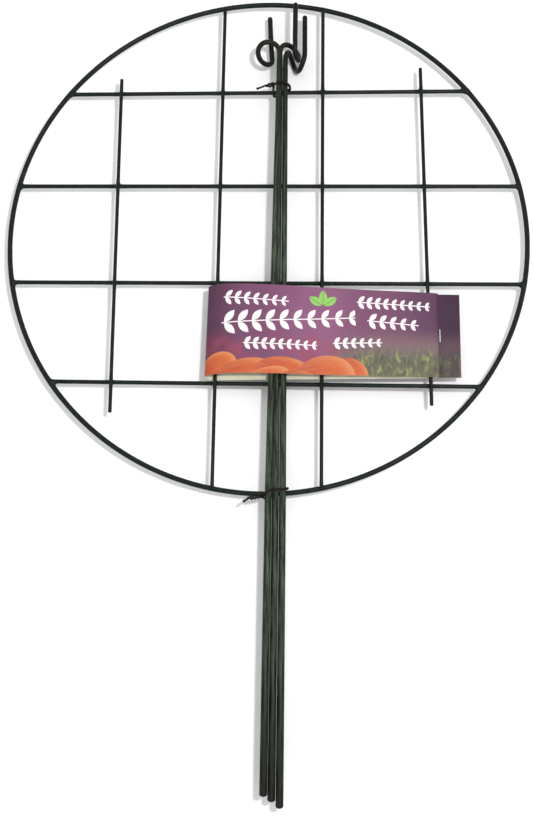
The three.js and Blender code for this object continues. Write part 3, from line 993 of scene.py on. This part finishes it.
def printed_ground(shader, place, across, up):
    """Dusk colours across the card, with a mossy bed along its foot."""
    wander = shader.times(shader.noise(place, *WANDER_NOISE), WANDER)
    across = shader.plus(across, shader.less(wander, WANDER / 2))
    low, color = GROUND_COLORS[0]
    color = screen(color)
    for high, tone in GROUND_COLORS[1:]:
        color = shader.mix(shader.range(across, low, high), color, screen(tone))
        low = high
    patches = shader.range(shader.noise(place, *PATCH_NOISE), *PATCH_LIMITS)
    dusk = shader.times(patches, shader.range(up, *DUSK_UP))
    color = shader.mix(shader.times(dusk, DUSK_SHARE), color, screen(DUSK_COLOR))
    bed = shader.range(across, *SHADE_ACROSS)
    shade = shader.times(bed, shader.range(up, *SHADE_UP))
    color = shader.mix(shade, color, screen(SHADE_COLOR))
    moss = shader.times(bed, shader.range(up, *MOSS_UP))
    color = shader.mix(moss, color, screen(MOSS_COLOR))
    blades = shader.noise(shader.scaled(place, *BLADE_SCALE), *BLADE_NOISE)
    buds = shader.times(shader.range(blades, *BUD_LIMITS), shader.range(up, *BUD_UP))
    buds = shader.times(shader.times(buds, bed), BUD_SHARE)
    color = shader.mix(buds, color, screen(BUD_COLOR))
    shadows = shader.range(blades, *BLADE_SHADOW_LIMITS)
    shadows = shader.times(shadows, shader.times(bed, BLADE_SHADOW_SHARE))
    shadows = shader.times(shadows, shader.range(up, *MOSS_UP))
    return shader.mix(shadows, color, screen(DEEP_COLOR))


def printed_petals(shader, place, color):
    """Broad petals over each other, pale at their edges, deep at their foot and veined."""
    for x, y, half_length, half_width, turn in PETALS:
        along, aside = shader.moved(place, x, y, turn)
        inside = shader.oval(along, aside, half_length, half_width)
        veins = shader.noise(shader.scaled(shader.joined(along, aside), *VEIN_SCALE), *VEIN_NOISE)
        pale = shader.range(inside, *PETAL_PALE_LIMITS)
        face = shader.mix(pale, screen(PETAL_PALE), screen(PETAL_FACE))
        deep = shader.times(shader.range(along, half_length, -half_length), PETAL_DEEP_SHARE)
        face = shader.mix(deep, face, screen(PETAL_DEEP))
        veins = shader.times(shader.range(veins, *VEIN_LIMITS), VEIN_SHARE)
        face = shader.mix(veins, face, screen(PETAL_PALE))
        color = shader.mix(shader.range(inside, *PETAL_EDGE), color, face)
    return color


def printed_sprigs(shader, place, color):
    """Stems with pairs of leaves along them: one leaf, repeated along and on both sides."""
    lean = math.radians(LEAF_LEAN_DEG)
    for x, y, length, turn, spacing, half_length, half_width in SPRIGS:
        along, aside = shader.moved(place, x, y, turn)
        size = shader.less(1.0, shader.times(along, LEAF_TAPER / length))
        part = shader.math("FRACT", shader.math("DIVIDE", along, spacing))
        cell = shader.less(shader.times(part, spacing), spacing * LEAF_BACK_SHARE)
        aside = shader.math("ABSOLUTE", aside)
        leaf_x = shader.plus(shader.times(cell, math.cos(lean)), shader.times(aside, math.sin(lean)))
        leaf_y = shader.less(shader.times(aside, math.cos(lean)), shader.times(cell, math.sin(lean)))
        leaf_x = shader.less(shader.math("DIVIDE", leaf_x, size), half_length)
        leaf_y = shader.math("DIVIDE", leaf_y, size)
        leaf = shader.range(shader.almond(leaf_x, leaf_y, half_length, half_width), *LEAF_EDGE)
        stem = shader.range(aside, STEM_HALF_WIDTH, STEM_HALF_WIDTH / 2)
        started = shader.math("GREATER_THAN", along, 0.0)
        inside = shader.times(started, shader.math("LESS_THAN", along, length))
        mask = shader.times(shader.math("MAXIMUM", leaf, stem), inside)
        color = shader.mix(mask, color, screen(SPRIG_COLOR))
    return color


def printed_emblem(shader, place, color):
    """Leaves that spread from one place, each with a bare middle vein."""
    for turn in EMBLEM_TURNS_DEG:
        along, aside = shader.moved(place, *EMBLEM_PLACE, turn)
        along = shader.less(along, EMBLEM_HALF_LENGTH * EMBLEM_STEP_SHARE)
        inside = shader.almond(along, aside, EMBLEM_HALF_LENGTH, EMBLEM_HALF_WIDTH)
        leaf = shader.range(inside, *EMBLEM_EDGE)
        aside = shader.math("ABSOLUTE", aside)
        vein = shader.range(aside, STEM_HALF_WIDTH / 2, STEM_HALF_WIDTH / 4)
        leaf = shader.times(leaf, shader.less(1.0, vein))
        color = shader.mix(leaf, color, screen(EMBLEM_COLOR))
    return color


def make_printed_card():
    """Half glossy card with petals, sprigs and an emblem, with painted shade in its crease and over
    its end flap.
    """
    shader = Shader("printed_card")
    place = shader.coordinates("print")
    across, up = shader.split(place)
    color = printed_ground(shader, place, across, up)
    color = printed_petals(shader, place, color)
    color = printed_sprigs(shader, place, color)
    color = printed_emblem(shader, place, color)
    grain = shader.range(shader.noise(place, *PRINT_GRAIN_NOISE), *PRINT_GRAIN_LIMITS)
    color = shader.mix(shader.times(grain, PRINT_GRAIN_SHARE), color, screen(PLUM_COLOR))
    # Painted shade: a dark band in the crease and a darkening over the end flap
    start, middle, end = CREASE_ACROSS
    crease_shade = shader.times(shader.range(across, start, middle), shader.range(across, end, middle))
    flap_shade = shader.range(up, *FLAP_SHADE_UP, *FLAP_SHADES)
    flap_shade = shader.times(shader.range(across, middle, end), flap_shade)
    dark = shader.math("MAXIMUM", shader.times(crease_shade, CREASE_SHADE), flap_shade)
    color = shader.mix(dark, color, screen(DEEP_COLOR))
    waves = shader.noise(place, *PRINT_WAVE_NOISE)
    fibre = shader.noise(place, *PRINT_FIBRE_NOISE)
    wavy = shader.bump(waves, WAVE_BUMP, PRINT_BUMP_STRENGTH)
    shader.set(
        Base_Color=color,
        Roughness=shader.range(waves, *PRINT_ROUGH),
        Specular_IOR_Level=PRINT_SHEEN,
        Normal=shader.bump(fibre, PRINT_BUMP, PRINT_BUMP_STRENGTH, wavy),
    )
    return shader.material


grid_coat = make_coat("grid_coating", GRID_TONES, GRID_ROUGHNESS, GRID_STREAKS)
stake_coat = make_coat("stake_coating", STAKE_TONES, STAKE_ROUGHNESS, STAKE_STREAKS, STAKE_END_SHADE_COLOR)
tie_coat = make_coat("tie_wire", TIE_TONES, TIE_ROUGHNESS, TIE_STREAKS)
staple_steel = make_staple_steel()
plain_card = make_plain_card()
printed_card = make_printed_card()

build_grid()
build_stakes()
build_ties()
build_label()
build_staple()


# Floor, light and camera
def seen_ray(tree):
    """One for the rays that show a surface, and none for those that carry its light on."""
    path = tree.nodes.new("ShaderNodeLightPath")
    kinds = ("Is Camera Ray", "Is Glossy Ray", "Is Transmission Ray")
    seen = path.outputs[kinds[0]]
    for kind in kinds[1:]:
        either = tree.nodes.new("ShaderNodeMath")
        either.operation = "MAXIMUM"
        tree.links.new(seen, either.inputs[0])
        tree.links.new(path.outputs[kind], either.inputs[1])
        seen = either.outputs[0]
    return seen


def build_floor():
    corners = [(-1, -1), (1, -1), (1, 1), (-1, 1)]
    mesh = bpy.data.meshes.new("floor")
    mesh.from_pydata([(x * FLOOR_HALF, y * FLOOR_HALF, 0.0) for x, y in corners], [], [(0, 1, 2, 3)])
    floor = bpy.data.objects.new("floor", mesh)
    bpy.context.scene.collection.objects.link(floor)
    shader = Shader("floor_white")
    shades = [(share, share, share, 1.0) for share in (FLOOR_BOUNCE_SHARE, FLOOR_SHARE)]
    color = shader.mix(seen_ray(shader.tree), *shades)
    shader.set(Base_Color=color, Roughness=1.0, Specular_IOR_Level=0.0)
    mesh.materials.append(shader.material)


def build_lamp():
    lamp = bpy.data.lights.new("lamp", "AREA")
    lamp.shape = "DISK"
    lamp.size = LAMP_SIZE
    lamp.energy = LAMP_POWER
    lamp.use_nodes = True
    tree = lamp.node_tree
    falloff = tree.nodes.new("ShaderNodeLightFalloff")
    falloff.inputs["Strength"].default_value = LAMP_FALLOFF_STRENGTH
    tree.links.new(falloff.outputs["Constant"], tree.nodes["Emission"].inputs["Strength"])
    holder = bpy.data.objects.new("lamp", lamp)
    holder.location = LAMP_PLACE
    holder.rotation_euler = Vector(LAMP_PLACE).to_track_quat("Z", "Y").to_euler()
    bpy.context.scene.collection.objects.link(holder)


def build_room():
    world = bpy.data.worlds.new("soft_room")
    world.use_nodes = True
    tree = world.node_tree
    place = tree.nodes.new("ShaderNodeTexCoord")
    split = tree.nodes.new("ShaderNodeSeparateXYZ")
    rise = tree.nodes.new("ShaderNodeMapRange")
    rise.interpolation_type = "SMOOTHSTEP"
    rise.inputs["From Max"].default_value = ROOM_SIDE_HEIGHT
    rise.inputs["To Min"].default_value = ROOM_STRENGTH * ROOM_SIDE_SHARE
    rise.inputs["To Max"].default_value = ROOM_STRENGTH
    tree.links.new(place.outputs["Generated"], split.inputs[0])
    tree.links.new(split.outputs[2], rise.inputs["Value"])
    background = tree.nodes["Background"]
    background.inputs["Color"].default_value = WHITE
    shown = tree.nodes.new("ShaderNodeMix")
    shown.inputs["B"].default_value = ROOM_SHOWN
    tree.links.new(seen_ray(tree), shown.inputs["Factor"])
    tree.links.new(rise.outputs["Result"], shown.inputs["A"])
    tree.links.new(shown.outputs["Result"], background.inputs["Strength"])
    bpy.context.scene.world = world


def build_camera():
    base = Matrix(((1, 0, 0), (0, -1, 0), (0, 0, -1)))
    turns = ((CAMERA_PITCH_DEG, "X"), (CAMERA_YAW_DEG, "Y"), (CAMERA_ROLL_DEG, "Z"))
    pitch, yaw, roll = (Matrix.Rotation(math.radians(turn), 3, axis) for turn, axis in turns)
    rows = pitch @ yaw @ roll @ base
    axes = Matrix((rows[0], -rows[1], -rows[2])).transposed()
    data = bpy.data.cameras.new("camera")
    data.sensor_fit = "VERTICAL"
    data.sensor_height = SENSOR
    data.lens = SENSOR * FOCAL_PIXELS / PHOTO_HIGH
    camera = bpy.data.objects.new("camera", data)
    camera.matrix_world = Matrix.Translation(CAMERA_PLACE) @ axes.to_4x4()
    bpy.context.scene.collection.objects.link(camera)
    bpy.context.scene.camera = camera


build_floor()
build_lamp()
build_room()
build_camera()
bpy.context.scene.view_settings.view_transform = "Standard"
